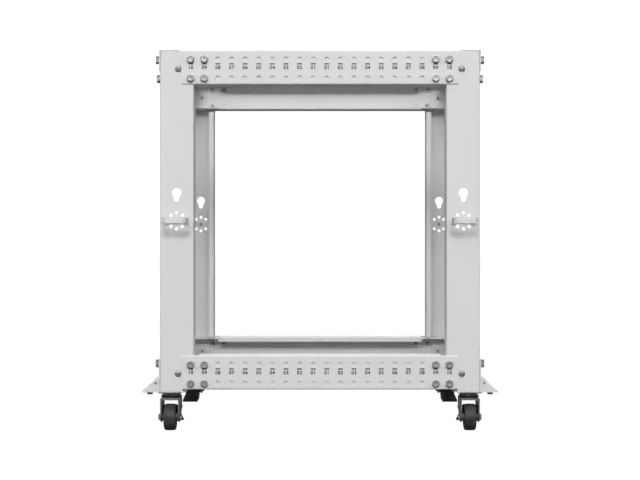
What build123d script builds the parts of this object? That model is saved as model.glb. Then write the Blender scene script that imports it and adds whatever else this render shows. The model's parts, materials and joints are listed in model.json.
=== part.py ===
"""Open-frame 12U equipment rack on four braked casters.

X is the rack's depth with the front at -X, Y its width with the right side at -Y, Z is up.
The origin is on the floor under the middle of the rack. Millimetres throughout.
"""

from build123d import *
from math import hypot
import os

os.makedirs("parts", exist_ok=True)

# ---- driving dimensions -------------------------------------------------------------------
SHEET = 2.0                # sheet thickness of every folded steel piece
BEND = 2.0                 # centre-line bend radius of the folded pieces
HALF_DEPTH = 299.0         # outer faces of the posts
HALF_WIDTH = 265.0         # outer faces of the post webs
FRAME_BOTTOM = 73.0        # underside of the bottom cross rails, where the casters bolt on
FRAME_TOP = 713.5
POST_WEB = 63.0
POST_FLANGE = 40.0
POST_LIP = 11.0
LIP_BOTTOM, LIP_TOP = 141.5, 642.5
WEB_CUT_TOP = 649.5        # above this the post web is cut back behind the side rail
WEB_CUT_X = 256.5
SEAT_GAP = 0.2             # above and below a post, inside the cross rails' folds

RACK_UNIT = 44.45
UNITS = 12
UNIT_HOLES = (6.35, 22.225, 38.1)
RACK_HOLE = 9.5            # square hole for a cage nut
RACK_HOLE_Y = 465.1 / 2
EQUIPMENT_BOTTOM = 138.5

HOLE_PITCH = 25.4
COLUMNS = 10               # numbered hole columns each side of the middle
RAIL_HOLE_R = 4.5
RAIL_HALF_LENGTH = 258.0
RAIL_FLANGE_HALF = 226.0
RAIL_HEIGHT = 64.0
RAIL_BOTTOMS = {"bottom": 78.5, "top": 648.0}
ROW_LOW, ROW_HIGH = 12.0, 47.5    # hole rows above the bottom of a side rail
BOLT_COLUMNS = (8, 9)
CLINCH_NUT = 3.0           # round nuts pressed into the inner rails
END_BOLT_HEAD = 7.0

CROSS_HEIGHTS = {"bottom": 62.5, "top": 38.6}
CROSS_FLANGES = {"bottom": 50.0, "top": 36.0}
END_BOLT_Y = 250.0
CORNER_SCREW_X = 265.0

KEYHOLE_X, KEYHOLE_Z = 268.0, 446.1
KEYHOLE_R, KEYHOLE_SLOT, KEYHOLE_DROP = 9.0, 4.75, 12.3
RING_Z = 393.9
RING_HOLE_R, RING_HOLE_CIRCLE = 3.25, 15.0
RING_WIDTH, RING_REACH, RING_HEIGHT = 45.0, 50.0, 10.8
RING_GAP = (3.2, 8.6)

OUTRIGGER_REACH, OUTRIGGER_HEIGHT = 34.0, 29.5
OUTRIGGER_Y = (228.0, 262.0)
FOOT_X, FOOT_Y = 320.0, 245.0

CASTER_X, CASTER_Y = 281.5, 225.0
PLATE_X, PLATE_Y, PLATE_T = 44.0, 60.0, 3.0
PLATE_HOLES_X, PLATE_HOLES_Y = 18.0, 46.0
WHEEL_R, WHEEL_WIDTH, HUB_R = 25.0, 22.0, 18.0
TRAIL = -20.0              # the wheels stand outwards of their swivel axes
FORK_HALF, FORK_SHEET = 18.0, 2.5
CROWN_BOTTOM, CROWN_TOP = 57.5, 61.5
AXLE_R, AXLE_HEAD_R = 4.0, 6.0
BRAKE_PIN = (13.0, 41.0)   # behind the swivel axis, above the floor
BRAKE_PIN_R = 2.5
PEDAL_TIP = (74.0, 8.0)
PEDAL_ROOT_WIDTH, PEDAL_TIP_WIDTH, PEDAL_T = 19.0, 33.0, 3.0
PEDAL_NECK = 26.0          # length of the pedal before it widens
CAM_WIDTH, CAM_GAP = 14.0, 0.8     # brake cam and its gap to the tyre
FIT = 0.05                 # running clearance on the radius
GAP = 0.3                  # between pieces that move past each other

CORNERS = {
    "front_right": (-1, -1),
    "rear_right": (1, -1),
    "front_left": (-1, 1),
    "rear_left": (1, 1),
}
SIDES = {"right": -1, "left": 1}
ENDS = {"front": -1, "rear": 1}


def side_plane(y):
    """Upright plane across the width: local x is X, local y is Z."""
    return Plane(origin=(0, y, 0), x_dir=(1, 0, 0), z_dir=(0, -1, 0))


def end_plane(x):
    """Upright plane across the depth: local x is Y, local y is Z, normal +X."""
    return Plane(origin=(x, 0, 0), x_dir=(0, 1, 0), z_dir=(1, 0, 0))


def save(builder, name):
    builder.part.label = name
    export_step(builder.part, f"parts/{name}.step")


def rail_rows(level):
    return [RAIL_BOTTOMS[level] + ROW_LOW, RAIL_BOTTOMS[level] + ROW_HIGH]


def column_x(index):
    return HOLE_PITCH * (index + 0.5)


def end_bolt_heights():
    return [z for level in RAIL_BOTTOMS for z in rail_rows(level)]


def corner_screw_heights():
    return [sum(rail_rows(level)) / 2 for level in RAIL_BOTTOMS]


# ---- posts and rails ----------------------------------------------------------------------
def make_post(name, sx, sy):
    half = SHEET / 2
    web_y, flange_y = HALF_WIDTH - half, HALF_WIDTH - POST_FLANGE
    outer_x, inner_x = HALF_DEPTH - half, HALF_DEPTH - POST_WEB + half
    outline = [(outer_x, flange_y), (outer_x, web_y), (inner_x, web_y),
               (inner_x, flange_y + half), (inner_x - half + POST_LIP, flange_y + half)]
    with BuildPart() as post:
        with BuildSketch(Plane.XY.offset(FRAME_BOTTOM + SHEET + SEAT_GAP)):
            with BuildLine():
                FilletPolyline(*[(sx * x, sy * y) for x, y in outline], radius=BEND)
            trace(line_width=SHEET)
        extrude(amount=FRAME_TOP - FRAME_BOTTOM - 2 * (SHEET + SEAT_GAP))
        # the inner flange stops short of both side rails, and the web is cut back behind them
        flange_mid = HALF_WIDTH - SHEET - BEND - POST_FLANGE / 2
        with BuildSketch(side_plane(sy * flange_mid)):
            for low, high in ((0, LIP_BOTTOM), (LIP_TOP, FRAME_TOP)):
                with Locations((sx * WEB_CUT_X - sx * POST_WEB / 2, (low + high) / 2)):
                    Rectangle(POST_WEB, high - low)
        extrude(amount=POST_FLANGE / 2 + BEND / 2, both=True, mode=Mode.SUBTRACT)
        with BuildSketch(side_plane(sy * HALF_WIDTH)):
            for low, high in ((0, LIP_BOTTOM), (WEB_CUT_TOP, FRAME_TOP)):
                with Locations((sx * WEB_CUT_X - sx * POST_WEB / 2, (low + high) / 2)):
                    Rectangle(POST_WEB, high - low)
            with Locations((sx * KEYHOLE_X, KEYHOLE_Z)):
                Circle(KEYHOLE_R)
            with Locations((sx * KEYHOLE_X, KEYHOLE_Z - KEYHOLE_DROP)):
                Circle(KEYHOLE_SLOT)
            with Locations((sx * KEYHOLE_X, KEYHOLE_Z - KEYHOLE_DROP / 2)):
                Trapezoid(2 * KEYHOLE_R * 0.9, KEYHOLE_DROP, 74, rotation=180)
            with Locations((sx * KEYHOLE_X, RING_Z)):
                Circle(RING_HOLE_R)
                with PolarLocations(RING_HOLE_CIRCLE, 8):
                    Circle(RING_HOLE_R)
                # the circle has no hole where the strip of the ring lies
                for side in (-1, 1):
                    with Locations((side * RING_HOLE_CIRCLE, 0)):
                        Circle(RING_HOLE_R + FIT, mode=Mode.SUBTRACT)
            for z in corner_screw_heights():
                with Locations((sx * CORNER_SCREW_X, z)):
                    Circle(RING_HOLE_R)
        extrude(amount=2 * SHEET, both=True, mode=Mode.SUBTRACT)
        with BuildSketch(end_plane(sx * HALF_DEPTH)):
            for unit in range(UNITS):
                for rise in UNIT_HOLES:
                    with Locations((sy * RACK_HOLE_Y, EQUIPMENT_BOTTOM + unit * RACK_UNIT + rise)):
                        Rectangle(RACK_HOLE, RACK_HOLE)
            for z in end_bolt_heights():
                with Locations((sy * END_BOLT_Y, z)):
                    Circle(RAIL_HOLE_R)
        extrude(amount=2 * SHEET, both=True, mode=Mode.SUBTRACT)
    save(post, f"post_{name}")


def make_outer_rail(level, side, sy):
    bottom = RAIL_BOTTOMS[level]
    half = SHEET / 2
    low, high = bottom + half, bottom + RAIL_HEIGHT - half
    web_y = HALF_WIDTH + half
    edge_y = HALF_WIDTH + SHEET - POST_FLANGE + half
    outline = [(edge_y, low + POST_LIP - half), (edge_y, low), (web_y, low),
               (web_y, high), (edge_y, high), (edge_y, high - POST_LIP + half)]
    with BuildPart() as rail:
        with BuildSketch(end_plane(0)):
            with BuildLine():
                FilletPolyline(*[(sy * y, z) for y, z in outline], radius=BEND)
            trace(line_width=SHEET)
        extrude(amount=RAIL_HALF_LENGTH, both=True)
        # only the web reaches over the posts
        with BuildSketch(Plane.XY.offset(bottom)):
            for sx in (-1, 1):
                tab = RAIL_HALF_LENGTH - RAIL_FLANGE_HALF
                with Locations((sx * (RAIL_FLANGE_HALF + tab / 2), sy * (HALF_WIDTH - POST_FLANGE / 2))):
                    Rectangle(tab, POST_FLANGE)
            with Locations((0, sy * edge_y)):
                Rectangle(SHEET, 2.5 * SHEET)
        extrude(amount=RAIL_HEIGHT, mode=Mode.SUBTRACT)
        with BuildSketch(side_plane(sy * HALF_WIDTH)):
            for z in rail_rows(level):
                for index in range(COLUMNS):
                    for sx in (-1, 1):
                        with Locations((sx * column_x(index), z)):
                            Circle(RAIL_HOLE_R)
        extrude(amount=2 * SHEET, both=True, mode=Mode.SUBTRACT)
    save(rail, f"side_rail_{level}_{side}")


def make_inner_rail(level, name, sx, sy):
    bottom = RAIL_BOTTOMS[level] + 3.0
    height = RAIL_HEIGHT - 6.0
    near_y, far_y = HALF_WIDTH - SHEET / 2, HALF_WIDTH - 1.5 * SHEET
    joggle = WEB_CUT_X - 4.0
    end_x = HALF_DEPTH - 1.5 * SHEET
    seam = 0.15
    outline = [(seam, near_y), (joggle - 3.0, near_y), (joggle, far_y), (end_x, far_y),
               (end_x, END_BOLT_Y - 10.0)]
    inner_y = HALF_WIDTH - 35.5     # inside the outer rail's lips
    with BuildPart() as rail:
        with BuildSketch(Plane.XY.offset(bottom)):
            with BuildLine():
                FilletPolyline(*[(sx * x, sy * y) for x, y in outline], radius=1.2)
            trace(line_width=SHEET)
        extrude(amount=height)
        for z in (bottom, bottom + height - SHEET):
            with BuildSketch(Plane.XY.offset(z)):
                for x0, x1, outer_y in ((seam, joggle - 6.0, HALF_WIDTH),
                                        (joggle - 7.0, end_x, HALF_WIDTH - SHEET - 0.1)):
                    with Locations((sx * (x0 + x1) / 2, sy * (inner_y + outer_y) / 2)):
                        Rectangle(x1 - x0, outer_y - inner_y)
            extrude(amount=SHEET)
        with BuildSketch(side_plane(sy * HALF_WIDTH)):
            for z in rail_rows(level):
                for index in BOLT_COLUMNS:
                    with Locations((sx * column_x(index), z)):
                        Circle(RAIL_HOLE_R)
            with Locations((sx * CORNER_SCREW_X, sum(rail_rows(level)) / 2)):
                Circle(RING_HOLE_R)
        extrude(amount=4 * SHEET, both=True, mode=Mode.SUBTRACT)
        with BuildSketch(end_plane(sx * HALF_DEPTH)):
            for z in rail_rows(level):
                with Locations((sy * END_BOLT_Y, z)):
                    Circle(RAIL_HOLE_R)
        extrude(amount=4 * SHEET, both=True, mode=Mode.SUBTRACT)
    save(rail, f"inner_rail_{level}_{name}")


def make_cross_rail(level, end, sx):
    height, flange = CROSS_HEIGHTS[level], CROSS_FLANGES[level]
    half = SHEET / 2
    web_x = HALF_DEPTH + half
    inner_x = HALF_DEPTH + SHEET - flange
    between_posts = 2 * (HALF_WIDTH - POST_FLANGE) - 6.0
    if level == "top":
        corner_z, web_end, lip_z = FRAME_TOP - half, FRAME_TOP - height, FRAME_TOP - 10.0
    else:
        corner_z, web_end, lip_z = FRAME_BOTTOM + half, FRAME_BOTTOM + height, FRAME_BOTTOM + 10.0
    inward = Plane(origin=(0, -HALF_WIDTH, 0), x_dir=(1, 0, 0), z_dir=(0, -1, 0))
    with BuildPart() as rail:
        with BuildSketch(inward):
            with BuildLine():
                FilletPolyline((sx * web_x, web_end), (sx * web_x, corner_z), (sx * inner_x, corner_z),
                               radius=half + 0.1)
            trace(line_width=SHEET)
        extrude(amount=-2 * HALF_WIDTH)
        # stiffening lip on the flange, between the posts
        with BuildSketch(end_plane(sx * (inner_x + half))):
            with Locations((0, (corner_z + lip_z) / 2)):
                Rectangle(between_posts, abs(corner_z - lip_z))
        extrude(amount=half, both=True)
        if level == "bottom":
            # return flange along the top edge of the web
            with BuildSketch(Plane.XY.offset(web_end - SHEET)):
                with Locations((sx * (web_x - 10.0), 0)):
                    Rectangle(20.0, between_posts)
            extrude(amount=SHEET)
        with BuildSketch(end_plane(sx * HALF_DEPTH)):
            for z in end_bolt_heights():
                for sy in (-1, 1):
                    with Locations((sy * END_BOLT_Y, z)):
                        Circle(RAIL_HOLE_R)
        extrude(amount=2 * SHEET, both=True, mode=Mode.SUBTRACT)
        if level == "bottom":
            with BuildSketch(Plane.XY.offset(FRAME_BOTTOM)):
                for sy in (-1, 1):
                    with Locations((sx * CASTER_X, sy * CASTER_Y)):
                        with GridLocations(PLATE_HOLES_X, PLATE_HOLES_Y, 2, 2):
                            Circle(RING_HOLE_R)
            extrude(amount=2 * SHEET, both=True, mode=Mode.SUBTRACT)
    save(rail, f"cross_rail_{level}_{end}")


def make_outrigger(name, sx, sy):
    back, tip = HALF_DEPTH + SHEET, HALF_DEPTH + OUTRIGGER_REACH
    low, high = FRAME_BOTTOM, FRAME_BOTTOM + OUTRIGGER_HEIGHT
    y_in, y_out = OUTRIGGER_Y
    y_mid, width = (y_in + y_out) / 2, y_out - y_in
    bolt_z = rail_rows("bottom")[0]
    with BuildPart() as bracket:
        with BuildSketch(end_plane(sx * (back + SHEET / 2))):
            with Locations((sy * y_mid, (low + high) / 2)):
                Rectangle(width, high - low)
        extrude(amount=SHEET / 2, both=True)
        with BuildSketch(Plane.XY.offset(low)):
            with Locations((sx * (back + tip) / 2, sy * y_mid)):
                Rectangle(tip - back, width)
        extrude(amount=SHEET)
        with BuildSketch(side_plane(sy * (y_out - SHEET / 2))):
            with BuildLine():
                Polyline((sx * back, low), (sx * tip, low), (sx * tip, low + SHEET),
                         (sx * (back + SHEET), high), (sx * back, high), close=True)
            make_face()
            with Locations((sx * (back + 6.5), low + 17.0)):
                Circle(2.2, mode=Mode.SUBTRACT)
        extrude(amount=SHEET / 2, both=True)
        with BuildSketch(end_plane(sx * back)):
            with Locations((sy * END_BOLT_Y, bolt_z)):
                Circle(RAIL_HOLE_R)
        extrude(amount=2 * SHEET, both=True, mode=Mode.SUBTRACT)
        with BuildSketch(Plane.XY.offset(low)):
            with Locations((sx * FOOT_X, sy * FOOT_Y)):
                Circle(RING_HOLE_R)
        extrude(amount=2 * SHEET, both=True, mode=Mode.SUBTRACT)
    save(bracket, f"outrigger_{name}")


def make_cable_ring(name, sx, sy):
    half = SHEET / 2
    side, back, front = RING_WIDTH / 2 - half, half, RING_REACH - half
    outline = [(RING_GAP[0], front), (-side, front), (-side, back), (side, back), (side, front),
               (RING_GAP[1], front)]
    points = [(sx * (KEYHOLE_X + u), sy * (HALF_WIDTH + v)) for u, v in outline]
    with BuildPart() as ring:
        with BuildSketch(Plane.XY.offset(RING_Z - RING_HEIGHT / 2)):
            with BuildLine():
                FilletPolyline(*points, radius=11.0)
            trace(line_width=SHEET)
        extrude(amount=RING_HEIGHT)
        with BuildSketch(side_plane(sy * HALF_WIDTH)):
            with Locations((sx * KEYHOLE_X, RING_Z)):
                Circle(RING_HOLE_R)
        extrude(amount=2 * SHEET, both=True, mode=Mode.SUBTRACT)
    save(ring, f"cable_ring_{name}")


# ---- fasteners ----------------------------------------------------------------------------
def add_screw(plane, place, head_r, head_t, shank_r, shank_length, hexagon=True):
    """Head on the plane's positive side and shank on its negative side, at a local place."""
    with BuildSketch(plane) as head:
        with Locations(place):
            if hexagon:
                RegularPolygon(head_r, 6)
            else:
                Circle(head_r)
    extrude(head.sketch, amount=head_t)
    with BuildSketch(plane) as shank:
        with Locations(place):
            Circle(shank_r)
    extrude(shank.sketch, amount=-shank_length)


def add_nut(plane, place, radius, thickness, bore, hexagon=True):
    """Nut on the plane's negative side, with a bore or solid on its shank."""
    with BuildSketch(plane) as nut:
        with Locations(place):
            if hexagon:
                RegularPolygon(radius, 6)
            else:
                Circle(radius)
            if bore:
                Circle(bore, mode=Mode.SUBTRACT)
    extrude(nut.sketch, amount=-thickness)


def outward_side(sy, distance):
    """Plane parallel to the rack's side whose normal points away from the rack."""
    return Plane(origin=(0, sy * distance, 0), x_dir=(1, 0, 0), z_dir=(0, sy, 0))


def outward_end(sx, distance):
    return Plane(origin=(sx * distance, 0, 0), x_dir=(0, 1, 0), z_dir=(sx, 0, 0))


def rail_bolt_places(sy):
    """Local places on outward_side(sy, ...), whose local y is -Z on the left side."""
    return [(sx * column_x(index), -sy * z) for z in end_bolt_heights()
            for index in BOLT_COLUMNS for sx in (-1, 1)]


def make_side_rail_fasteners():
    with BuildPart() as bolts:
        for sy in (-1, 1):
            for place in rail_bolt_places(sy):
                add_screw(outward_side(sy, HALF_WIDTH + SHEET), place, 7.5, 5.3, 4.0, 2 * SHEET + CLINCH_NUT - 0.4)
    save(bolts, "side_rail_bolts")
    with BuildPart() as nuts:
        for sy in (-1, 1):
            for place in rail_bolt_places(sy):
                add_nut(outward_side(sy, HALF_WIDTH - SHEET), place, 6.8, CLINCH_NUT, 4.0 + FIT, hexagon=False)
    save(nuts, "side_rail_nuts")


def make_end_bolts():
    low, high = end_bolt_heights()[0], end_bolt_heights()[2]
    with BuildPart() as bolts:
        for sx in (-1, 1):
            for sy in (-1, 1):
                for z in end_bolt_heights():
                    seat = HALF_DEPTH + SHEET
                    if z == low:
                        seat += SHEET
                    if z == high:
                        seat -= SHEET
                    place = (sy * END_BOLT_Y, sx * z)
                    add_screw(outward_end(sx, seat), place, 7.5, END_BOLT_HEAD, 4.0, seat - HALF_DEPTH + 13.0)
                    add_nut(outward_end(sx, HALF_DEPTH - 2 * SHEET), place, 7.5, 6.5, 0)
    save(bolts, "post_end_bolts")


def make_small_screws():
    with BuildPart() as corner:
        for sy in (-1, 1):
            for sx in (-1, 1):
                for z in corner_screw_heights():
                    place = (sx * CORNER_SCREW_X, -sy * z)
                    add_screw(outward_side(sy, HALF_WIDTH), place, 6.0, 3.0, 3.0, 10.0, hexagon=False)
    save(corner, "corner_screws")
    with BuildPart() as ring:
        for sy in (-1, 1):
            for sx in (-1, 1):
                place = (sx * KEYHOLE_X, -sy * RING_Z)
                add_screw(outward_side(sy, HALF_WIDTH + SHEET), place, 5.0, 2.5, 3.0, 8.0, hexagon=False)
    save(ring, "ring_screws")


def make_vertical_bolts():
    """Bolts from below, with their nuts: the casters' and the outriggers'."""
    plate_bottom = FRAME_BOTTOM - PLATE_T
    with BuildPart() as caster:
        for sx in (-1, 1):
            for sy in (-1, 1):
                for dx in (-1, 1):
                    for dy in (-1, 1):
                        place = (sx * CASTER_X + dx * PLATE_HOLES_X / 2,
                                 -(sy * CASTER_Y + dy * PLATE_HOLES_Y / 2))
                        under = Plane(origin=(0, 0, plate_bottom), x_dir=(1, 0, 0), z_dir=(0, 0, -1))
                        above = Plane(origin=(0, 0, FRAME_BOTTOM + SHEET), x_dir=(1, 0, 0), z_dir=(0, 0, -1))
                        add_screw(under, place, 5.7, 3.6, 3.0, 10.8)
                        add_nut(above, place, 5.7, 4.6, 0)
    save(caster, "caster_bolts")
    with BuildPart() as foot:
        for sx in (-1, 1):
            for sy in (-1, 1):
                place = (sx * FOOT_X, -sy * FOOT_Y)
                under = Plane(origin=(0, 0, FRAME_BOTTOM), x_dir=(1, 0, 0), z_dir=(0, 0, -1))
                above = Plane(origin=(0, 0, FRAME_BOTTOM + SHEET), x_dir=(1, 0, 0), z_dir=(0, 0, -1))
                add_screw(under, place, 5.7, 5.2, 3.0, 8.5)
                add_nut(above, place, 5.7, 4.6, 0)
    save(foot, "outrigger_bolts")


# ---- casters ------------------------------------------------------------------------------
def behind(sy, distance):
    """Y of a point that far behind a caster's swivel axis, towards the middle of the rack."""
    return sy * (CASTER_Y - distance)


def axle_axis(sx, sy):
    return Axis((sx * CASTER_X, behind(sy, TRAIL), WHEEL_R), (1, 0, 0))


def wheel_plane(sx, sy):
    """Plane through the axle: local x along it, local y up from it."""
    return Plane(origin=(sx * CASTER_X, behind(sy, TRAIL), WHEEL_R), x_dir=(1, 0, 0), z_dir=(0, -1, 0))


def make_caster_plate(name, sx, sy):
    center = (sx * CASTER_X, sy * CASTER_Y)
    bottom = FRAME_BOTTOM - PLATE_T
    with BuildPart() as plate:
        with BuildSketch(Plane.XY.offset(bottom)):
            with Locations(center):
                RectangleRounded(PLATE_X, PLATE_Y, 4.0)
                with GridLocations(PLATE_HOLES_X, PLATE_HOLES_Y, 2, 2):
                    Circle(RING_HOLE_R, mode=Mode.SUBTRACT)
        extrude(amount=PLATE_T)
        # swivel cup, king pin and the pin's riveted head under the fork
        for low, high, radius in ((CROWN_TOP + GAP, bottom, 17.0),
                                  (CROWN_BOTTOM - GAP, bottom, AXLE_R),
                                  (CROWN_BOTTOM - 3.0, CROWN_BOTTOM - GAP, 7.0)):
            with BuildSketch(Plane.XY.offset(low)):
                with Locations(center):
                    Circle(radius)
            extrude(amount=high - low)
    save(plate, f"caster_plate_{name}")


def make_caster_fork(name, sx, sy):
    cx = sx * CASTER_X
    back, front = 22.0, TRAIL - 13.0
    outline = [(back, CROWN_TOP), (back, 40.0), (TRAIL + 8.0, 16.0), (TRAIL - 8.0, 16.0),
               (front, 30.0), (front, CROWN_TOP)]
    with BuildPart() as fork:
        for leg in (-1, 1):
            with BuildSketch(end_plane(cx + leg * (FORK_HALF - FORK_SHEET / 2))):
                with BuildLine():
                    Polyline(*[(behind(sy, d), z) for d, z in outline], close=True)
                make_face()
                fillet(vertices().group_by(Axis.Y)[0], radius=6.5)
            extrude(amount=FORK_SHEET / 2, both=True)
        with BuildSketch(Plane.XY.offset(CROWN_BOTTOM)):
            with Locations((cx, behind(sy, (back + front) / 2))):
                Rectangle(2 * FORK_HALF, back - front)
        extrude(amount=CROWN_TOP - CROWN_BOTTOM)
        with BuildSketch(end_plane(cx)):
            with Locations((behind(sy, BRAKE_PIN[0]), BRAKE_PIN[1])):
                Circle(BRAKE_PIN_R)
        extrude(amount=FORK_HALF + 1.5, both=True)
        with BuildSketch(Plane.XY.offset(CROWN_BOTTOM)):
            with Locations((cx, sy * CASTER_Y)):
                Circle(AXLE_R + FIT)
        extrude(amount=CROWN_TOP - CROWN_BOTTOM, mode=Mode.SUBTRACT)
        with BuildSketch(end_plane(cx)):
            with Locations((behind(sy, TRAIL), WHEEL_R)):
                Circle(AXLE_R)
        extrude(amount=FORK_HALF, both=True, mode=Mode.SUBTRACT)
        crown_edges = fork.edges().filter_by(Axis.Y).group_by(Axis.Z)[-1]
        fillet(crown_edges, radius=2.0)
    save(fork, f"caster_fork_{name}")


def make_caster_axle(name, sx, sy):
    plane = Plane(origin=(sx * CASTER_X + FORK_HALF, behind(sy, TRAIL), WHEEL_R),
                  x_dir=(0, 1, 0), z_dir=(1, 0, 0))
    with BuildPart() as axle:
        add_screw(plane, (0, 0), AXLE_HEAD_R, 4.0, AXLE_R, 2 * FORK_HALF + 5.0)
        add_nut(plane.offset(-2 * FORK_HALF), (0, 0), AXLE_HEAD_R, 4.0, 0)
    save(axle, f"caster_axle_{name}")


def make_caster_hub(name, sx, sy):
    rim, disc, boss = WHEEL_WIDTH / 2 - 1.0, 3.0, FORK_HALF - FORK_SHEET - GAP
    outline = [(-boss, AXLE_R + FIT), (boss, AXLE_R + FIT), (boss, 7.5), (disc, 8.5), (disc, 15.0),
               (rim, 15.6), (rim, HUB_R), (-rim, HUB_R), (-rim, 15.6), (-disc, 15.0), (-disc, 8.5),
               (-boss, 7.5)]
    with BuildPart() as hub:
        with BuildSketch(wheel_plane(sx, sy)):
            with BuildLine():
                Polyline(*outline, close=True)
            make_face()
        revolve(axis=axle_axis(sx, sy))
    save(hub, f"caster_hub_{name}")


def make_caster_tyre(name, sx, sy):
    with BuildPart() as tyre:
        with BuildSketch(wheel_plane(sx, sy)):
            with Locations((0, (HUB_R + WHEEL_R) / 2)):
                Rectangle(WHEEL_WIDTH, WHEEL_R - HUB_R)
            fillet(vertices().group_by(Axis.Y)[-1], radius=4.5)
        revolve(axis=axle_axis(sx, sy))
    save(tyre, f"caster_tyre_{name}")


def make_caster_brake(name, sx, sy):
    cx = sx * CASTER_X
    run, drop = PEDAL_TIP[0] - BRAKE_PIN[0], PEDAL_TIP[1] - BRAKE_PIN[1]
    length = hypot(run, drop)
    pin_y = behind(sy, BRAKE_PIN[0])
    # local x runs across the pedal and local y down its slope, away from the pin
    slope = Plane(origin=(cx, pin_y, BRAKE_PIN[1]), x_dir=(1, 0, 0),
                  z_dir=(0, -sy * drop / length, -run / length))
    down = 1 if slope.y_dir.Z < 0 else -1
    with BuildPart() as pedal:
        with BuildSketch(slope):
            with BuildLine():
                Polyline((-PEDAL_ROOT_WIDTH / 2, 0), (PEDAL_ROOT_WIDTH / 2, 0),
                         (PEDAL_ROOT_WIDTH / 2, down * PEDAL_NECK),
                         (PEDAL_TIP_WIDTH / 2, down * (length - 2.0)),
                         (PEDAL_TIP_WIDTH / 2 - 1.5, down * length),
                         (1.5 - PEDAL_TIP_WIDTH / 2, down * length),
                         (-PEDAL_TIP_WIDTH / 2, down * (length - 2.0)),
                         (-PEDAL_ROOT_WIDTH / 2, down * PEDAL_NECK), close=True)
            make_face()
        extrude(amount=PEDAL_T / 2, both=True)
        with BuildSketch(end_plane(cx)):
            with Locations((pin_y, BRAKE_PIN[1])):
                Circle(4.2)
        extrude(amount=PEDAL_ROOT_WIDTH / 2, both=True)
        # cam, pointing from the pin at the wheel's axle when the pedal is down
        over, under = TRAIL - BRAKE_PIN[0], WHEEL_R - BRAKE_PIN[1]
        reach = hypot(over, under)
        cam = reach - WHEEL_R - CAM_GAP
        along, across = (over / reach, under / reach), (-under / reach, over / reach)
        with BuildSketch(end_plane(cx)):
            with BuildLine():
                Polyline(*[(behind(sy, BRAKE_PIN[0] + u * along[0] + v * across[0]),
                            BRAKE_PIN[1] + u * along[1] + v * across[1])
                           for u, v in ((0, 4.2), (cam - 2.0, 3.4), (cam, 1.6), (cam, -1.6), (cam - 2.0, -3.4),
                                        (0, -4.2))], close=True)
            make_face()
        extrude(amount=CAM_WIDTH / 2, both=True)
        with BuildSketch(end_plane(cx)):
            with Locations((pin_y, BRAKE_PIN[1])):
                Circle(BRAKE_PIN_R + FIT)
        extrude(amount=PEDAL_ROOT_WIDTH, both=True, mode=Mode.SUBTRACT)
    save(pedal, f"caster_brake_{name}")


# ---- build --------------------------------------------------------------------------------
for corner_name, (corner_x, corner_y) in CORNERS.items():
    make_post(corner_name, corner_x, corner_y)
    make_outrigger(corner_name, corner_x, corner_y)
    make_cable_ring(corner_name, corner_x, corner_y)
    for rail_level in RAIL_BOTTOMS:
        make_inner_rail(rail_level, corner_name, corner_x, corner_y)
    make_caster_plate(corner_name, corner_x, corner_y)
    make_caster_fork(corner_name, corner_x, corner_y)
    make_caster_axle(corner_name, corner_x, corner_y)
    make_caster_hub(corner_name, corner_x, corner_y)
    make_caster_tyre(corner_name, corner_x, corner_y)
    make_caster_brake(corner_name, corner_x, corner_y)

for rail_level in RAIL_BOTTOMS:
    for side_name, side_sign in SIDES.items():
        make_outer_rail(rail_level, side_name, side_sign)
    for end_name, end_sign in ENDS.items():
        make_cross_rail(rail_level, end_name, end_sign)

make_side_rail_fasteners()
make_end_bolts()
make_small_screws()
make_vertical_bolts()
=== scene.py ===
"""Open-frame equipment rack on casters: materials, detailed pieces, light and camera round the CAD frame."""

import json
from math import cos, pi, radians, sin, tan

import bmesh
import bpy
from mathutils import Matrix, Vector


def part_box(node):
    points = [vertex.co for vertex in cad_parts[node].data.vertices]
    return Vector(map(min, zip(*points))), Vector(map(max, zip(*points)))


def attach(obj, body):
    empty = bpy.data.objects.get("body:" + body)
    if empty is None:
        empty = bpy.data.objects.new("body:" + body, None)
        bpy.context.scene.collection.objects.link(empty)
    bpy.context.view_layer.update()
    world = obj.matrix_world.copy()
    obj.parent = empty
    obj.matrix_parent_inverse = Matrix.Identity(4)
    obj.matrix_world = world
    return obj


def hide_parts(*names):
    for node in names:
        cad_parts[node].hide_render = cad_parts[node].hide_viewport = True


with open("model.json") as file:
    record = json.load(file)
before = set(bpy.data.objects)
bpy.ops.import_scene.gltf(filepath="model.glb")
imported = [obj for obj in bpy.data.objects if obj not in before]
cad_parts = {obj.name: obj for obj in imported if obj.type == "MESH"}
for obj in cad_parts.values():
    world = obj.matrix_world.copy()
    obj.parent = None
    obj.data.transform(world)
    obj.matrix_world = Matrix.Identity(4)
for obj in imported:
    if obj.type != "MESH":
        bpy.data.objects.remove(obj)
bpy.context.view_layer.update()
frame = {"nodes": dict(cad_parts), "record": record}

MM = 0.001
NODES = frame["nodes"]
CORNERS = {"front_right": (-1, -1), "rear_right": (1, -1), "front_left": (-1, 1), "rear_left": (1, 1)}
JOINTS = {joint["name"]: joint for joint in frame["record"]["behaviour"]["joints"]}
RACK_MIDDLE = Vector((0, 0, 0.36))

NUT_SEAT_X = 295.0 * MM    # inner faces of the inner rails' end flanges
NUT_SEAT_Z = 75.0 * MM     # upper face of the bottom cross rails' flanges
COARSE_M8, COARSE_M6 = 1.25 * MM, 1.0 * MM    # thread pitches
M8_RADIUS, M6_RADIUS = 4.0 * MM, 3.0 * MM
PEDAL_NECK = 26.0 * MM     # the pedal flares past this distance from its pin
HORIZON, OVERHEAD = 0.12, 0.28    # dome brightness that lights the rack


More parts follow.
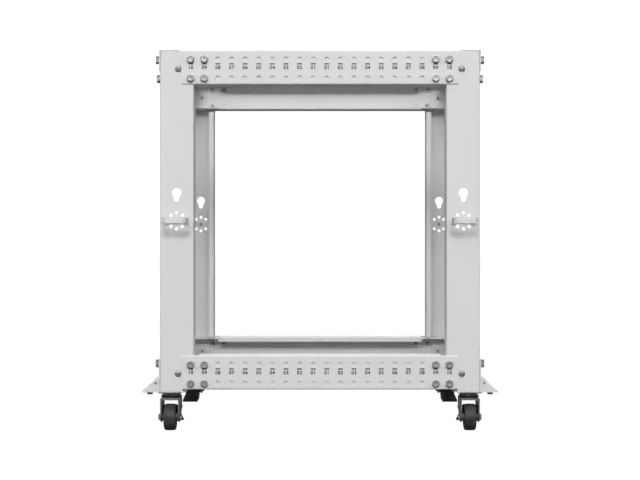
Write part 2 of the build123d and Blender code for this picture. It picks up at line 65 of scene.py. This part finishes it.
# ---- node helpers -------------------------------------------------------------------------
class Nodes:
    """A material's node tree with short calls to add and link nodes."""

    def __init__(self, name):
        self.material = bpy.data.materials.new(name)
        self.material.use_nodes = True
        self.tree = self.material.node_tree
        self.shader = self.tree.nodes["Principled BSDF"]
        self.coords = self.add("ShaderNodeTexCoord").outputs["Object"]

    def add(self, kind, **values):
        node = self.tree.nodes.new(kind)
        for key, value in values.items():
            if key in node.inputs:
                node.inputs[key].default_value = value
            else:
                setattr(node, key, value)
        return node

    def link(self, output, target):
        self.tree.links.new(output, target)

    def set(self, **values):
        for key, value in values.items():
            self.shader.inputs[key.replace("_", " ")].default_value = value

    def noise(self, scale, detail=4.0, stretch=(1, 1, 1)):
        mapping = self.add("ShaderNodeMapping")
        mapping.inputs["Scale"].default_value = stretch
        self.link(self.coords, mapping.inputs["Vector"])
        noise = self.add("ShaderNodeTexNoise", Scale=scale, Detail=detail)
        self.link(mapping.outputs["Vector"], noise.inputs["Vector"])
        return noise.outputs["Fac"]

    def ramp(self, source, low, high, start=0.3, end=0.7):
        """Colour or grey ramp from low to high over part of the source's span."""
        ramp = self.add("ShaderNodeValToRGB")
        for element, place, value in zip(ramp.color_ramp.elements, (start, end), (low, high)):
            element.position = place
            element.color = (*value, 1) if isinstance(value, tuple) else (value, value, value, 1)
        self.link(source, ramp.inputs["Fac"])
        return ramp.outputs["Color"]

    def mix(self, factor, first, second):
        mix = self.add("ShaderNodeMix", data_type="RGBA")
        self.link(factor, mix.inputs[0])
        self.link(first, mix.inputs[6])
        self.link(second, mix.inputs[7])
        return mix.outputs[2]

    def bump(self, height, strength, distance, normal=None):
        bump = self.add("ShaderNodeBump", Strength=strength, Distance=distance)
        self.link(height, bump.inputs["Height"])
        if normal is not None:
            self.link(normal, bump.inputs["Normal"])
        return bump.outputs["Normal"]

    def round_edges(self, radius):
        return self.add("ShaderNodeBevel", samples=4, Radius=radius).outputs["Normal"]


def powder_coat():
    """Light grey textured powder coat: orange peel, a fine grain and faint handling marks."""
    n = Nodes("powder_coat")
    grain = n.noise(900.0, 3.0)
    peel = n.noise(260.0, 2.0)
    cloud = n.noise(9.0, 5.0)
    smudge = n.noise(38.0, 6.0, (1, 1, 0.35))
    base = n.ramp(cloud, (0.672, 0.674, 0.676), (0.700, 0.701, 0.702))
    fleck = n.ramp(grain, (0.640, 0.642, 0.645), (0.712, 0.713, 0.714), 0.25, 0.6)
    amount = n.ramp(grain, 0.15, 0.45)
    n.link(n.mix(amount, base, fleck), n.shader.inputs["Base Color"])
    n.link(n.ramp(smudge, 0.46, 0.60), n.shader.inputs["Roughness"])
    rounded = n.round_edges(0.7 * MM)
    orange_peel = n.bump(peel, 0.10, 0.0003, rounded)
    n.link(n.bump(grain, 0.14, 0.0001, orange_peel), n.shader.inputs["Normal"])
    n.set(IOR=1.5, Specular_IOR_Level=0.4)
    return n.material


def zinc(name, dark, light, rough, scratch):
    """Plated steel: cloudy grey with fine scratches along one direction."""
    n = Nodes(name)
    cloud = n.noise(120.0, 5.0)
    lines = n.noise(600.0, 3.0, scratch)
    stain = n.noise(28.0, 4.0)
    tint = n.ramp(stain, dark, light, 0.35, 0.65)
    clean = n.ramp(cloud, tuple(0.9 * c for c in light), light)
    n.link(n.mix(n.ramp(lines, 0.2, 0.7), tint, clean), n.shader.inputs["Base Color"])
    n.link(n.ramp(lines, rough, rough + 0.16), n.shader.inputs["Roughness"])
    rounded = n.round_edges(0.35 * MM)
    n.link(n.bump(lines, 0.12, 0.0001, rounded), n.shader.inputs["Normal"])
    n.set(Metallic=1.0)
    return n.material


def tyre_rubber():
    """Black rubber with dust in its grain."""
    n = Nodes("tyre_rubber")
    grain = n.noise(1400.0, 4.0)
    dust = n.noise(75.0, 6.0)
    n.link(n.mix(n.ramp(dust, 0.05, 0.5, 0.45, 0.75),
                 n.ramp(grain, (0.018, 0.018, 0.019), (0.032, 0.032, 0.033)),
                 n.ramp(grain, (0.055, 0.054, 0.052), (0.085, 0.083, 0.080))), n.shader.inputs["Base Color"])
    n.link(n.ramp(dust, 0.45, 0.68), n.shader.inputs["Roughness"])
    n.link(n.bump(grain, 0.25, 0.0001), n.shader.inputs["Normal"])
    return n.material


def moulded_plastic(name, dark, light, rough):
    """Moulded plastic with a spark-eroded grain."""
    n = Nodes(name)
    grain = n.noise(1900.0, 3.0)
    cloud = n.noise(55.0, 4.0)
    n.link(n.ramp(cloud, dark, light), n.shader.inputs["Base Color"])
    n.link(n.ramp(grain, rough - 0.06, rough + 0.08), n.shader.inputs["Roughness"])
    n.link(n.bump(grain, 0.18, 0.0001, n.round_edges(0.4 * MM)), n.shader.inputs["Normal"])
    return n.material


def ink():
    """Printed marks: dark grey ink that thins a little in places."""
    n = Nodes("rail_ink")
    wear = n.noise(700.0, 4.0)
    fresh, worn = (0.012, 0.012, 0.013), (0.045, 0.045, 0.047)
    n.link(n.ramp(wear, fresh, worn, 0.35, 0.75), n.shader.inputs["Base Color"])
    n.link(n.ramp(wear, 0.50, 0.66), n.shader.inputs["Roughness"])
    return n.material


MATERIALS = {
    "powder_coat": powder_coat(),
    "fastener_zinc": zinc("fastener_zinc", (0.30, 0.30, 0.305), (0.41, 0.41, 0.42), 0.44, (1, 1, 6)),
    "caster_zinc": zinc("caster_zinc", (0.20, 0.205, 0.21), (0.36, 0.365, 0.37), 0.34, (1, 6, 1)),
    "tyre_rubber": tyre_rubber(),
    "hub_plastic": moulded_plastic("hub_plastic", (0.060, 0.060, 0.062), (0.085, 0.085, 0.087), 0.42),
    "pedal_plastic": moulded_plastic("pedal_plastic", (0.010, 0.010, 0.011), (0.018, 0.018, 0.019), 0.36),
}
INK = ink()


def paint_cad_nodes():
    for part in frame["record"]["subparts"]:
        obj = NODES[part["node"]]
        obj.data.materials.clear()
        obj.data.materials.append(MATERIALS[part["material_slot"]])


# ---- mesh helpers -------------------------------------------------------------------------
def new_piece(name, bm, material, body, smooth_angle=32.0):
    """Writes a bmesh, in row-frame metres, to a new object that rides on a body."""
    bmesh.ops.recalc_face_normals(bm, faces=bm.faces)
    for edge in bm.edges:
        if len(edge.link_faces) == 2:
            edge.smooth = edge.calc_face_angle(0.0) < radians(smooth_angle)
    for face in bm.faces:
        face.smooth = True
    mesh = bpy.data.meshes.new(name)
    bm.to_mesh(mesh)
    bm.free()
    mesh.materials.append(material)
    obj = bpy.data.objects.new(name, mesh)
    bpy.context.scene.collection.objects.link(obj)
    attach(obj, body)
    return obj


def lathe(bm, profile, matrix, segments=48):
    """Turns (distance along the axis, radius) points about local z; a radius of 0 closes the end."""
    rings = []
    for along, radius in profile:
        if radius == 0:
            rings.append([bm.verts.new(matrix @ Vector((0, 0, along)))])
            continue
        ring = []
        for step in range(segments):
            angle = 2 * pi * step / segments
            ring.append(bm.verts.new(matrix @ Vector((radius * cos(angle), radius * sin(angle), along))))
        rings.append(ring)
    for first, second in zip(rings, rings[1:]):
        for step in range(segments):
            following = (step + 1) % segments
            corners = [first[step % len(first)], first[following % len(first)],
                       second[following % len(second)], second[step % len(second)]]
            unique = list(dict.fromkeys(corners))
            if len(unique) > 2:
                bm.faces.new(unique)
    return rings


def close_lathe(bm, rings):
    """Joins the last ring to the first, for a profile that runs round a bore."""
    first, last = rings[0], rings[-1]
    for step in range(len(first)):
        following = (step + 1) % len(first)
        bm.faces.new([last[step], last[following], first[following], first[step]])


def pointing(place, direction):
    """Matrix that puts local z along direction at a place."""
    turn = Vector(direction).to_track_quat("Z", "X").to_matrix().to_4x4()
    return Matrix.Translation(place) @ turn


def islands(node):
    """(lowest, highest corner) of each separate solid in a CAD node."""
    bm = bmesh.new()
    bm.from_mesh(NODES[node].data)
    bmesh.ops.remove_doubles(bm, verts=bm.verts, dist=1e-6)
    seen, boxes = set(), []
    for start in bm.verts:
        if start in seen:
            continue
        stack, group = [start], []
        seen.add(start)
        while stack:
            vert = stack.pop()
            group.append(vert.co.copy())
            for edge in vert.link_edges:
                other = edge.other_vert(vert)
                if other not in seen:
                    seen.add(other)
                    stack.append(other)
        boxes.append((Vector([min(v[i] for v in group) for i in range(3)]),
                      Vector([max(v[i] for v in group) for i in range(3)])))
    bm.free()
    return boxes


# ---- fasteners ----------------------------------------------------------------------------
def hexagon(angle, radius):
    """Distance from a hexagon's middle to its side at an angle; radius is to its corners."""
    turned = angle % (pi / 3) - pi / 6
    return radius * cos(pi / 6) / cos(turned)


def hex_block(bm, matrix, corner_r, height, both_ends=False):
    """Hexagon with the curved 30 degree chamfer that turned bar leaves, from local z 0 to height."""
    flat_r = corner_r * cos(pi / 6)
    segments = 36
    rim = flat_r * 0.97

    def ring(level, chamfered):
        verts = []
        for step in range(segments):
            angle = 2 * pi * step / segments
            reach = hexagon(angle, corner_r)
            drop = (reach - rim) * tan(radians(30)) if chamfered else 0
            z = level - drop if level > height / 2 else level + drop
            verts.append(bm.verts.new(matrix @ Vector((reach * cos(angle), reach * sin(angle), z))))
        return verts

    def circle(level, radius):
        return [bm.verts.new(matrix @ Vector((radius * cos(2 * pi * step / segments),
                                              radius * sin(2 * pi * step / segments), level)))
                for step in range(segments)]

    dish = 0.03 * height
    rings = [circle(0, rim * 0.4), circle(0, rim), ring(0, both_ends), ring(height, True),
             circle(height, rim), circle(height, rim * 0.72), circle(height - dish, rim * 0.62),
             circle(height - dish, rim * 0.2)]
    for first, second in zip(rings, rings[1:]):
        for step in range(segments):
            following = (step + 1) % segments
            bm.faces.new([first[step], first[following], second[following], second[step]])
    bm.faces.new(rings[0])
    bm.faces.new(rings[-1])


def threaded_shank(bm, matrix, radius, start, end, pitch):
    """Shank with a V thread cut as rings, from local z start down to end."""
    profile = [(start, 0), (start, radius)]
    level = start - 1.2 * pitch
    while level - pitch > end + 0.5 * pitch:
        profile += [(level, radius), (level - pitch / 2, radius * 0.87)]
        level -= pitch
    profile += [(end + 0.4 * pitch, radius * 0.95), (end, radius * 0.78), (end, 0)]
    lathe(bm, profile, matrix, 24)


def make_bolts(node, axis, corner_r, head, shank_r, pitch, nut=None):
    """Detailed hex bolts in place of a CAD group. Heads face away from the middle, or down."""
    bm = bmesh.new()
    for low, high in islands(node):
        middle = (low + high) / 2
        outward = -1 if axis == 2 else (1 if middle[axis] > 0 else -1)
        direction = Vector([outward if i == axis else 0 for i in range(3)])
        top = high[axis] if outward > 0 else low[axis]
        length = high[axis] - low[axis]
        place = middle.copy()
        place[axis] = top - outward * head
        matrix = pointing(place, direction)
        hex_block(bm, matrix, corner_r, head)
        threaded_shank(bm, matrix, shank_r, 0.0, head - length, pitch)
        if nut:
            seat = place.copy()
            seat[axis] = top - outward * (head + nut_gap(node, axis, outward, place, nut))
            nut_matrix = pointing(seat, -direction)
            hex_block(bm, nut_matrix, corner_r, nut, both_ends=True)
    piece = new_piece(f"{node}_detail", bm, MATERIALS["fastener_zinc"], "rack")
    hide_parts(node)


def nut_gap(node, axis, outward, place, nut):
    """How far below the head the nut's seat lies: what the bolt clamps."""
    if node == "post_end_bolts":
        return abs(place[axis]) - NUT_SEAT_X
    return NUT_SEAT_Z - place[axis]


def make_rail_nuts():
    """Round nuts pressed into the inner rails, with a chamfered rim and bore."""
    bm = bmesh.new()
    for low, high in islands("side_rail_nuts"):
        middle = (low + high) / 2
        inward = -1 if middle.y > 0 else 1
        seat = Vector((middle.x, high.y if middle.y > 0 else low.y, middle.z))
        height, radius, bore = high.y - low.y, (high.x - low.x) / 2, 4.1 * MM
        profile = [(0, bore), (0, radius - 0.2 * MM), (0.2 * MM, radius), (0.55 * height, radius),
                   (0.8 * height, radius - 0.3 * MM), (height, radius - 1.1 * MM), (height, bore + 0.6 * MM),
                   (height - 0.6 * MM, bore)]
        close_lathe(bm, lathe(bm, profile, pointing(seat, (0, inward, 0)), 40))
    piece = new_piece("side_rail_nuts_detail", bm, MATERIALS["powder_coat"], "rack")
    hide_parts("side_rail_nuts")


def cross_recess_head(head_r, height):
    """Mesh of one domed screw head at the origin with a cross recess, from a boolean."""
    dome = bmesh.new()
    steps = 8
    profile = [(0, 0), (0, head_r * 0.97), (0.12 * height, head_r)]
    for step in range(1, steps):
        angle = pi / 2 * step / steps
        profile.append((0.12 * height + 0.88 * height * sin(angle), head_r * cos(angle) ** 0.7))
    profile.append((height, 0))
    lathe(dome, profile, Matrix.Identity(4), 48)
    bmesh.ops.recalc_face_normals(dome, faces=dome.faces)
    cutter = bmesh.new()
    arm, width, depth = head_r * 0.58, head_r * 0.15, height * 0.8
    outline = []
    for quarter in range(4):
        turn = Matrix.Rotation(pi / 2 * quarter, 2)
        for corner in ((width, width), (arm, width), (arm, -width)):
            outline.append(turn @ Vector(corner))
    outline.sort(key=lambda v: (round((v.angle_signed(Vector((1, 0))) % (2 * pi)), 4), v.length))
    top, bottom = [], []
    for point in outline:
        top.append(cutter.verts.new((point.x, point.y, 2 * height)))
        bottom.append(cutter.verts.new((point.x * 0.55, point.y * 0.55, height - depth)))
    cutter.faces.new(top)
    cutter.faces.new(bottom[::-1])
    for index in range(len(top)):
        following = (index + 1) % len(top)
        cutter.faces.new([bottom[index], bottom[following], top[following], top[index]])
    bmesh.ops.recalc_face_normals(cutter, faces=cutter.faces)
    objects = []
    for name, bm in (("head_blank", dome), ("head_cutter", cutter)):
        mesh = bpy.data.meshes.new(name)
        bm.to_mesh(mesh)
        bm.free()
        obj = bpy.data.objects.new(name, mesh)
        bpy.context.scene.collection.objects.link(obj)
        objects.append(obj)
    blank, tool = objects
    modifier = blank.modifiers.new("recess", "BOOLEAN")
    modifier.operation = "DIFFERENCE"
    modifier.solver = "EXACT"
    modifier.object = tool
    graph = bpy.context.evaluated_depsgraph_get()
    result = bpy.data.meshes.new_from_object(blank.evaluated_get(graph))
    for obj in objects:
        bpy.data.objects.remove(obj)
    return result


def make_cross_screws(node, head_r, head):
    """Detailed M6 cross-recess screws in place of a CAD group, heads outwards."""
    template = cross_recess_head(head_r, head)
    bm = bmesh.new()
    for low, high in islands(node):
        middle = (low + high) / 2
        outward = 1 if middle.y > 0 else -1
        top = high.y if outward > 0 else low.y
        place = Vector((middle.x, top - outward * head, middle.z))
        matrix = pointing(place, (0, outward, 0)) @ Matrix.Rotation(radians(20), 4, "Z")
        copy = template.copy()
        copy.transform(matrix)
        bm.from_mesh(copy)
        threaded_shank(bm, matrix, M6_RADIUS, 0.0, head - (high.y - low.y), COARSE_M6)
    piece = new_piece(f"{node}_detail", bm, MATERIALS["fastener_zinc"], "rack")
    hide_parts(node)


# ---- casters ------------------------------------------------------------------------------
def wheel_matrix(name):
    """Matrix that puts local z along a wheel's axle at its middle."""
    pos = Vector(JOINTS[f"wheel_spin_{name}"]["pos_m"])
    return pointing(pos, (1, 0, 0))


def make_tyre(name):
    """Tyre with a crowned tread, two fine grooves, a mould line and raised rings on its sides."""
    outer, inner, half = 25.0 * MM, 18.0 * MM, 11.0 * MM
    groove, line = 0.35 * MM, 0.12 * MM
    one_side = [(-half, inner), (-half, inner + 1.4 * MM), (-half + 0.35 * MM, inner + 1.8 * MM),
                (-half + 0.35 * MM, inner + 2.6 * MM), (-half, inner + 3.0 * MM)]
    shoulder = 3.6 * MM
    for step in range(7):
        angle = pi / 2 * step / 6
        one_side.append((-half + shoulder * (1 - cos(angle)), outer - 0.25 * MM - shoulder * (1 - sin(angle))))
    one_side += [(-5.2 * MM, outer - 0.05 * MM), (-4.9 * MM, outer - groove), (-4.5 * MM, outer - groove),
                 (-4.2 * MM, outer - 0.03 * MM), (-0.25 * MM, outer)]
    other_side = [(-along, radius) for along, radius in reversed(one_side)]
    profile = one_side + [(0, outer - line)] + other_side
    bm = bmesh.new()
    close_lathe(bm, lathe(bm, profile, wheel_matrix(name), 96))
    piece = new_piece(f"tyre_{name}", bm, MATERIALS["tyre_rubber"], f"wheel_{name}")
    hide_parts(f"caster_tyre_{name}")


def make_hub(name):
    """Hub with a dished web, a bearing boss and eight ribs on each side."""
    rim, boss = 10.0 * MM, 15.2 * MM
    bore = 4.05 * MM
    profile = [(-boss, bore), (-boss, 7.0 * MM), (-boss + 0.5 * MM, 7.5 * MM), (-3.2 * MM, 8.4 * MM),
               (-2.6 * MM, 9.0 * MM), (-2.6 * MM, 14.4 * MM), (-3.2 * MM, 15.0 * MM),
               (-rim + 0.4 * MM, 15.7 * MM), (-rim, 16.1 * MM), (-rim, 17.95 * MM)]
    profile += [(-along, radius) for along, radius in reversed(profile)]
    matrix = wheel_matrix(name)
    bm = bmesh.new()
    close_lathe(bm, lathe(bm, profile, matrix, 72))
    for side in (-1, 1):
        for rib in range(8):
            turn = matrix @ Matrix.Rotation(2 * pi * rib / 8, 4, "Z")
            inner, outer, thick = 8.0 * MM, 15.6 * MM, 0.8 * MM
            low, high_in, high_out = side * 2.0 * MM, side * 10.5 * MM, side * 8.6 * MM
            points = [(inner, low), (outer, low), (outer, high_out), (inner, high_in)]
            near = [bm.verts.new(turn @ Vector((x, -thick, z))) for x, z in points]
            far = [bm.verts.new(turn @ Vector((x, thick, z))) for x, z in points]
            bm.faces.new(near)
            bm.faces.new(far[::-1])
            for index in range(4):
                following = (index + 1) % 4
                bm.faces.new([near[index], near[following], far[following], far[index]])
    piece = new_piece(f"hub_{name}", bm, MATERIALS["hub_plastic"], f"wheel_{name}")
    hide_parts(f"caster_hub_{name}")


def make_axle(name):
    """Axle bolt with a chamfered head and a lock nut."""
    matrix = wheel_matrix(name)
    seat, corner_r, head, reach = 18.0 * MM, 6.0 * MM, 4.0 * MM, 41.0 * MM
    head_end = matrix @ Matrix.Translation((0, 0, seat))
    nut_end = matrix @ Matrix.Translation((0, 0, -seat)) @ Matrix.Rotation(pi, 4, "X")
    bm = bmesh.new()
    hex_block(bm, head_end, corner_r, head)
    hex_block(bm, nut_end, corner_r, head)
    threaded_shank(bm, head_end, M8_RADIUS, 0.0, -reach, COARSE_M8)
    piece = new_piece(f"axle_{name}", bm, MATERIALS["fastener_zinc"], f"fork_{name}")
    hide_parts(f"caster_axle_{name}")


def make_pedal_ribs(name, sy):
    """Raised grip ribs across the pedal's upper face."""
    low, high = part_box(f"caster_brake_{name}")
    pin = Vector(JOINTS[f"brake_pedal_{name}"]["pos_m"])
    tip_y = low[1] if sy > 0 else high[1]
    tip = Vector((pin.x, tip_y, low[2] + 1.5 * MM))
    down = (tip - pin).normalized()
    across = Vector((1, 0, 0))
    up = across.cross(down)
    if up.z < 0:
        up.negate()
    reach = (tip - pin).length
    bm = bmesh.new()
    for index in range(6):
        along = reach * (0.52 + 0.075 * index)
        widening = max(0.0, min(1.0, (along - PEDAL_NECK) / (reach - 28.0 * MM)))
        half_width = (9.5 + 7.0 * widening) * MM - 2.2 * MM
        if index == 5:
            half_width -= 1.5 * MM
        center = pin + down * along + up * 1.45 * MM
        sections = []
        for x, scale in ((-half_width, 0.2), (0.8 * MM - half_width, 1.0), (half_width - 0.8 * MM, 1.0),
                         (half_width, 0.2)):
            section = []
            for step in range(9):
                angle = pi * step / 8
                section.append(bm.verts.new(center + across * x + down * (0.9 * MM * cos(angle))
                                            + up * (0.75 * MM * scale * sin(angle))))
            sections.append(section)
        for first, second in zip(sections, sections[1:]):
            for step in range(9):
                following = (step + 1) % 9
                bm.faces.new([first[step], first[following], second[following], second[step]])
        bm.faces.new(sections[0][::-1])
        bm.faces.new(sections[-1])
    new_piece(f"pedal_ribs_{name}", bm, MATERIALS["pedal_plastic"], f"brake_{name}")


def make_swivel_seal(name):
    """Pressed dust ring round the swivel, between the fork's crown and the base plate's cup."""
    pos = Vector(JOINTS[f"swivel_{name}"]["pos_m"])
    matrix = Matrix.Translation((pos.x, pos.y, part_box(f"caster_fork_{name}")[1][2]))
    bm = bmesh.new()
    profile = [(0, 17.4 * MM), (0, 20.0 * MM), (0.5 * MM, 20.3 * MM), (2.2 * MM, 19.2 * MM),
               (3.0 * MM, 18.2 * MM), (3.0 * MM, 17.5 * MM), (1.0 * MM, 17.3 * MM)]
    close_lathe(bm, lathe(bm, profile, matrix, 64))
    new_piece(f"swivel_ring_{name}", bm, MATERIALS["caster_zinc"], f"fork_{name}")


# ---- printed numbers ----------------------------------------------------------------------
def text_mesh(text, height):
    """Flat mesh of centred digits, in the XY plane."""
    curve = bpy.data.curves.new("digits", "FONT")
    curve.body = text
    curve.size = height / 0.7
    curve.align_x = "CENTER"
    curve.align_y = "CENTER"
    curve.space_character = 1.08
    curve.offset = height * 0.045
    curve.resolution_u = 3
    obj = bpy.data.objects.new("digits", curve)
    bpy.context.scene.collection.objects.link(obj)
    graph = bpy.context.evaluated_depsgraph_get()
    graph.update()
    mesh = bpy.data.meshes.new_from_object(obj.evaluated_get(graph))
    bpy.data.objects.remove(obj)
    return mesh


def make_rail_numbers():
    """Column numbers 01 to 10 outwards from the middle, each under a short bar."""
    pitch, columns = 25.4 * MM, 10
    digit_height, bar_width, bar_height, lift = 6.6 * MM, 9.0 * MM, 2.3 * MM, 0.06 * MM
    digits = [text_mesh(f"{index + 1:02d}", digit_height) for index in range(columns)]
    for level in ("top", "bottom"):
        for side, sy in (("right", -1), ("left", 1)):
            low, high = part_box(f"side_rail_{level}_{side}")
            face_y = (low[1] if sy < 0 else high[1]) + sy * lift
            number_z, bar_z = low[2] + 31.6 * MM, low[2] + 38.6 * MM
            # text reads from outside: its x axis runs to the viewer's right
            facing = Matrix(((-sy, 0, 0), (0, 0, sy), (0, 1, 0))).to_4x4()
            bm = bmesh.new()
            for index in range(columns):
                for sx in (-1, 1):
                    x = sx * pitch * (index + 0.5)
                    copy = digits[index].copy()
                    copy.transform(Matrix.Translation((x, face_y, number_z)) @ facing)
                    bm.from_mesh(copy)
                    corners = [(-1, -1), (1, -1), (1, 1), (-1, 1)]
                    bm.faces.new([bm.verts.new((x + u * bar_width / 2, face_y, bar_z + v * bar_height / 2))
                                  for u, v in corners])
            extruded = bmesh.ops.extrude_face_region(bm, geom=list(bm.faces))
            moved = [item for item in extruded["geom"] if isinstance(item, bmesh.types.BMVert)]
            bmesh.ops.translate(bm, verts=moved, vec=(0, -sy * (lift + 0.02 * MM), 0))
            new_piece(f"rail_numbers_{level}_{side}", bm, INK, "rack")


# ---- stage --------------------------------------------------------------------------------
def make_floor():
    """Floor that the camera sees almost evenly white and that throws little light back up."""
    mesh = bpy.data.meshes.new("floor")
    size = 30.0
    corners = [(-size, -size, 0), (size, -size, 0), (size, size, 0), (-size, size, 0)]
    mesh.from_pydata(corners, [], [(0, 1, 2, 3)])
    floor = bpy.data.objects.new("floor", mesh)
    bpy.context.scene.collection.objects.link(floor)
    material = bpy.data.materials.new("floor")
    material.use_nodes = True
    nodes, links = material.node_tree.nodes, material.node_tree.links
    shader = nodes["Principled BSDF"]
    shader.inputs["Base Color"].default_value = (0.16, 0.16, 0.16, 1)
    shader.inputs["Roughness"].default_value = 0.9
    shader.inputs["Specular IOR Level"].default_value = 0.1
    glow = nodes.new("ShaderNodeEmission")
    path = nodes.new("ShaderNodeLightPath")
    share = nodes.new("ShaderNodeMath")
    share.operation = "MULTIPLY"
    share.inputs[1].default_value = 0.9
    mix = nodes.new("ShaderNodeMixShader")
    glow.inputs["Strength"].default_value = 1.12
    links.new(path.outputs["Is Camera Ray"], share.inputs[0])
    links.new(share.outputs[0], mix.inputs[0])
    links.new(shader.outputs[0], mix.inputs[1])
    links.new(glow.outputs[0], mix.inputs[2])
    links.new(mix.outputs[0], nodes["Material Output"].inputs["Surface"])
    mesh.materials.append(material)


def make_world():
    """White to the camera; what lights the rack is a grey dome, brighter overhead."""
    world = bpy.data.worlds.new("studio")
    bpy.context.scene.world = world
    world.use_nodes = True
    nodes, links = world.node_tree.nodes, world.node_tree.links
    dome = nodes["Background"]
    coords = nodes.new("ShaderNodeTexCoord")
    split = nodes.new("ShaderNodeSeparateXYZ")
    ramp = nodes.new("ShaderNodeValToRGB")
    links.new(coords.outputs["Generated"], split.inputs[0])
    links.new(split.outputs["Z"], ramp.inputs["Fac"])
    levels = ((0.0, HORIZON), (0.25, HORIZON), (0.9, OVERHEAD))
    while len(ramp.color_ramp.elements) < len(levels):
        ramp.color_ramp.elements.new(0.5)
    for element, (place, level) in zip(ramp.color_ramp.elements, levels):
        element.position = place
        element.color = (level, level, level, 1)
    links.new(ramp.outputs["Color"], dome.inputs["Color"])
    seen = nodes.new("ShaderNodeBackground")
    seen.inputs["Color"].default_value = (1, 1, 1, 1)
    seen.inputs["Strength"].default_value = 1.1
    path = nodes.new("ShaderNodeLightPath")
    mix = nodes.new("ShaderNodeMixShader")
    links.new(path.outputs["Is Camera Ray"], mix.inputs[0])
    links.new(dome.outputs[0], mix.inputs[1])
    links.new(seen.outputs[0], mix.inputs[2])
    links.new(mix.outputs[0], nodes["World Output"].inputs["Surface"])


def make_softbox(name, azimuth, elevation, distance, width, height, power):
    """Rectangular light aimed at the middle of the rack; azimuth 0 is behind the camera."""
    toward = Vector((sin(radians(azimuth)) * cos(radians(elevation)),
                     -cos(radians(azimuth)) * cos(radians(elevation)), sin(radians(elevation))))
    light = bpy.data.lights.new(name, "AREA")
    light.shape = "RECTANGLE"
    light.size, light.size_y = width, height
    light.energy = power
    obj = bpy.data.objects.new(name, light)
    obj.location = RACK_MIDDLE + toward * distance
    obj.rotation_euler = toward.to_track_quat("Z", "Y").to_euler()
    obj.visible_camera = False
    bpy.context.scene.collection.objects.link(obj)


def make_lights():
    """Softboxes: wide and narrow ones low in front, a high one, two weak side ones and one behind the rack."""
    make_softbox("key_wide", azimuth=0, elevation=24.5, distance=12.0, width=12.0, height=1.2, power=560)
    make_softbox("key_narrow", azimuth=0, elevation=31.0, distance=12.0, width=2.4, height=1.6, power=350)
    make_softbox("high", azimuth=0, elevation=50, distance=10.0, width=6.6, height=3.4, power=215)
    for name, azimuth in (("side_front", -62), ("side_rear", 62)):
        make_softbox(name, azimuth, elevation=26, distance=12.0, width=5.0, height=2.0, power=205)
    make_softbox("back", azimuth=180, elevation=30, distance=12.0, width=10.0, height=3.4, power=720)


def make_camera():
    """Level camera in front of the rack's right side."""
    camera = bpy.data.cameras.new("camera")
    camera.sensor_width = 36.0
    camera.lens = 77.4
    camera.clip_end = 100.0
    obj = bpy.data.objects.new("camera", camera)
    obj.location = (0, -2.835, 0.3579)
    obj.rotation_euler = (radians(90), 0, 0)
    bpy.context.scene.collection.objects.link(obj)
    bpy.context.scene.camera = obj
    bpy.context.scene.view_settings.view_transform = "Standard"


# ---- build --------------------------------------------------------------------------------
make_camera()
make_world()
make_lights()
make_floor()
paint_cad_nodes()

M8 = {"corner_r": 7.5 * MM, "shank_r": M8_RADIUS, "pitch": COARSE_M8}
M6 = {"corner_r": 5.7 * MM, "shank_r": M6_RADIUS, "pitch": COARSE_M6}
make_bolts("side_rail_bolts", axis=1, head=5.3 * MM, **M8)
make_rail_nuts()
make_bolts("post_end_bolts", axis=0, head=7.0 * MM, nut=6.5 * MM, **M8)
make_bolts("caster_bolts", axis=2, head=3.6 * MM, nut=4.6 * MM, **M6)
make_bolts("outrigger_bolts", axis=2, head=5.2 * MM, nut=4.6 * MM, **M6)
make_cross_screws("corner_screws", head_r=6.0 * MM, head=3.0 * MM)
make_cross_screws("ring_screws", head_r=5.0 * MM, head=2.5 * MM)
make_rail_numbers()

for corner, (_, sign_y) in CORNERS.items():
    make_tyre(corner)
    make_hub(corner)
    make_axle(corner)
    make_pedal_ribs(corner, sign_y)
    make_swivel_seal(corner)
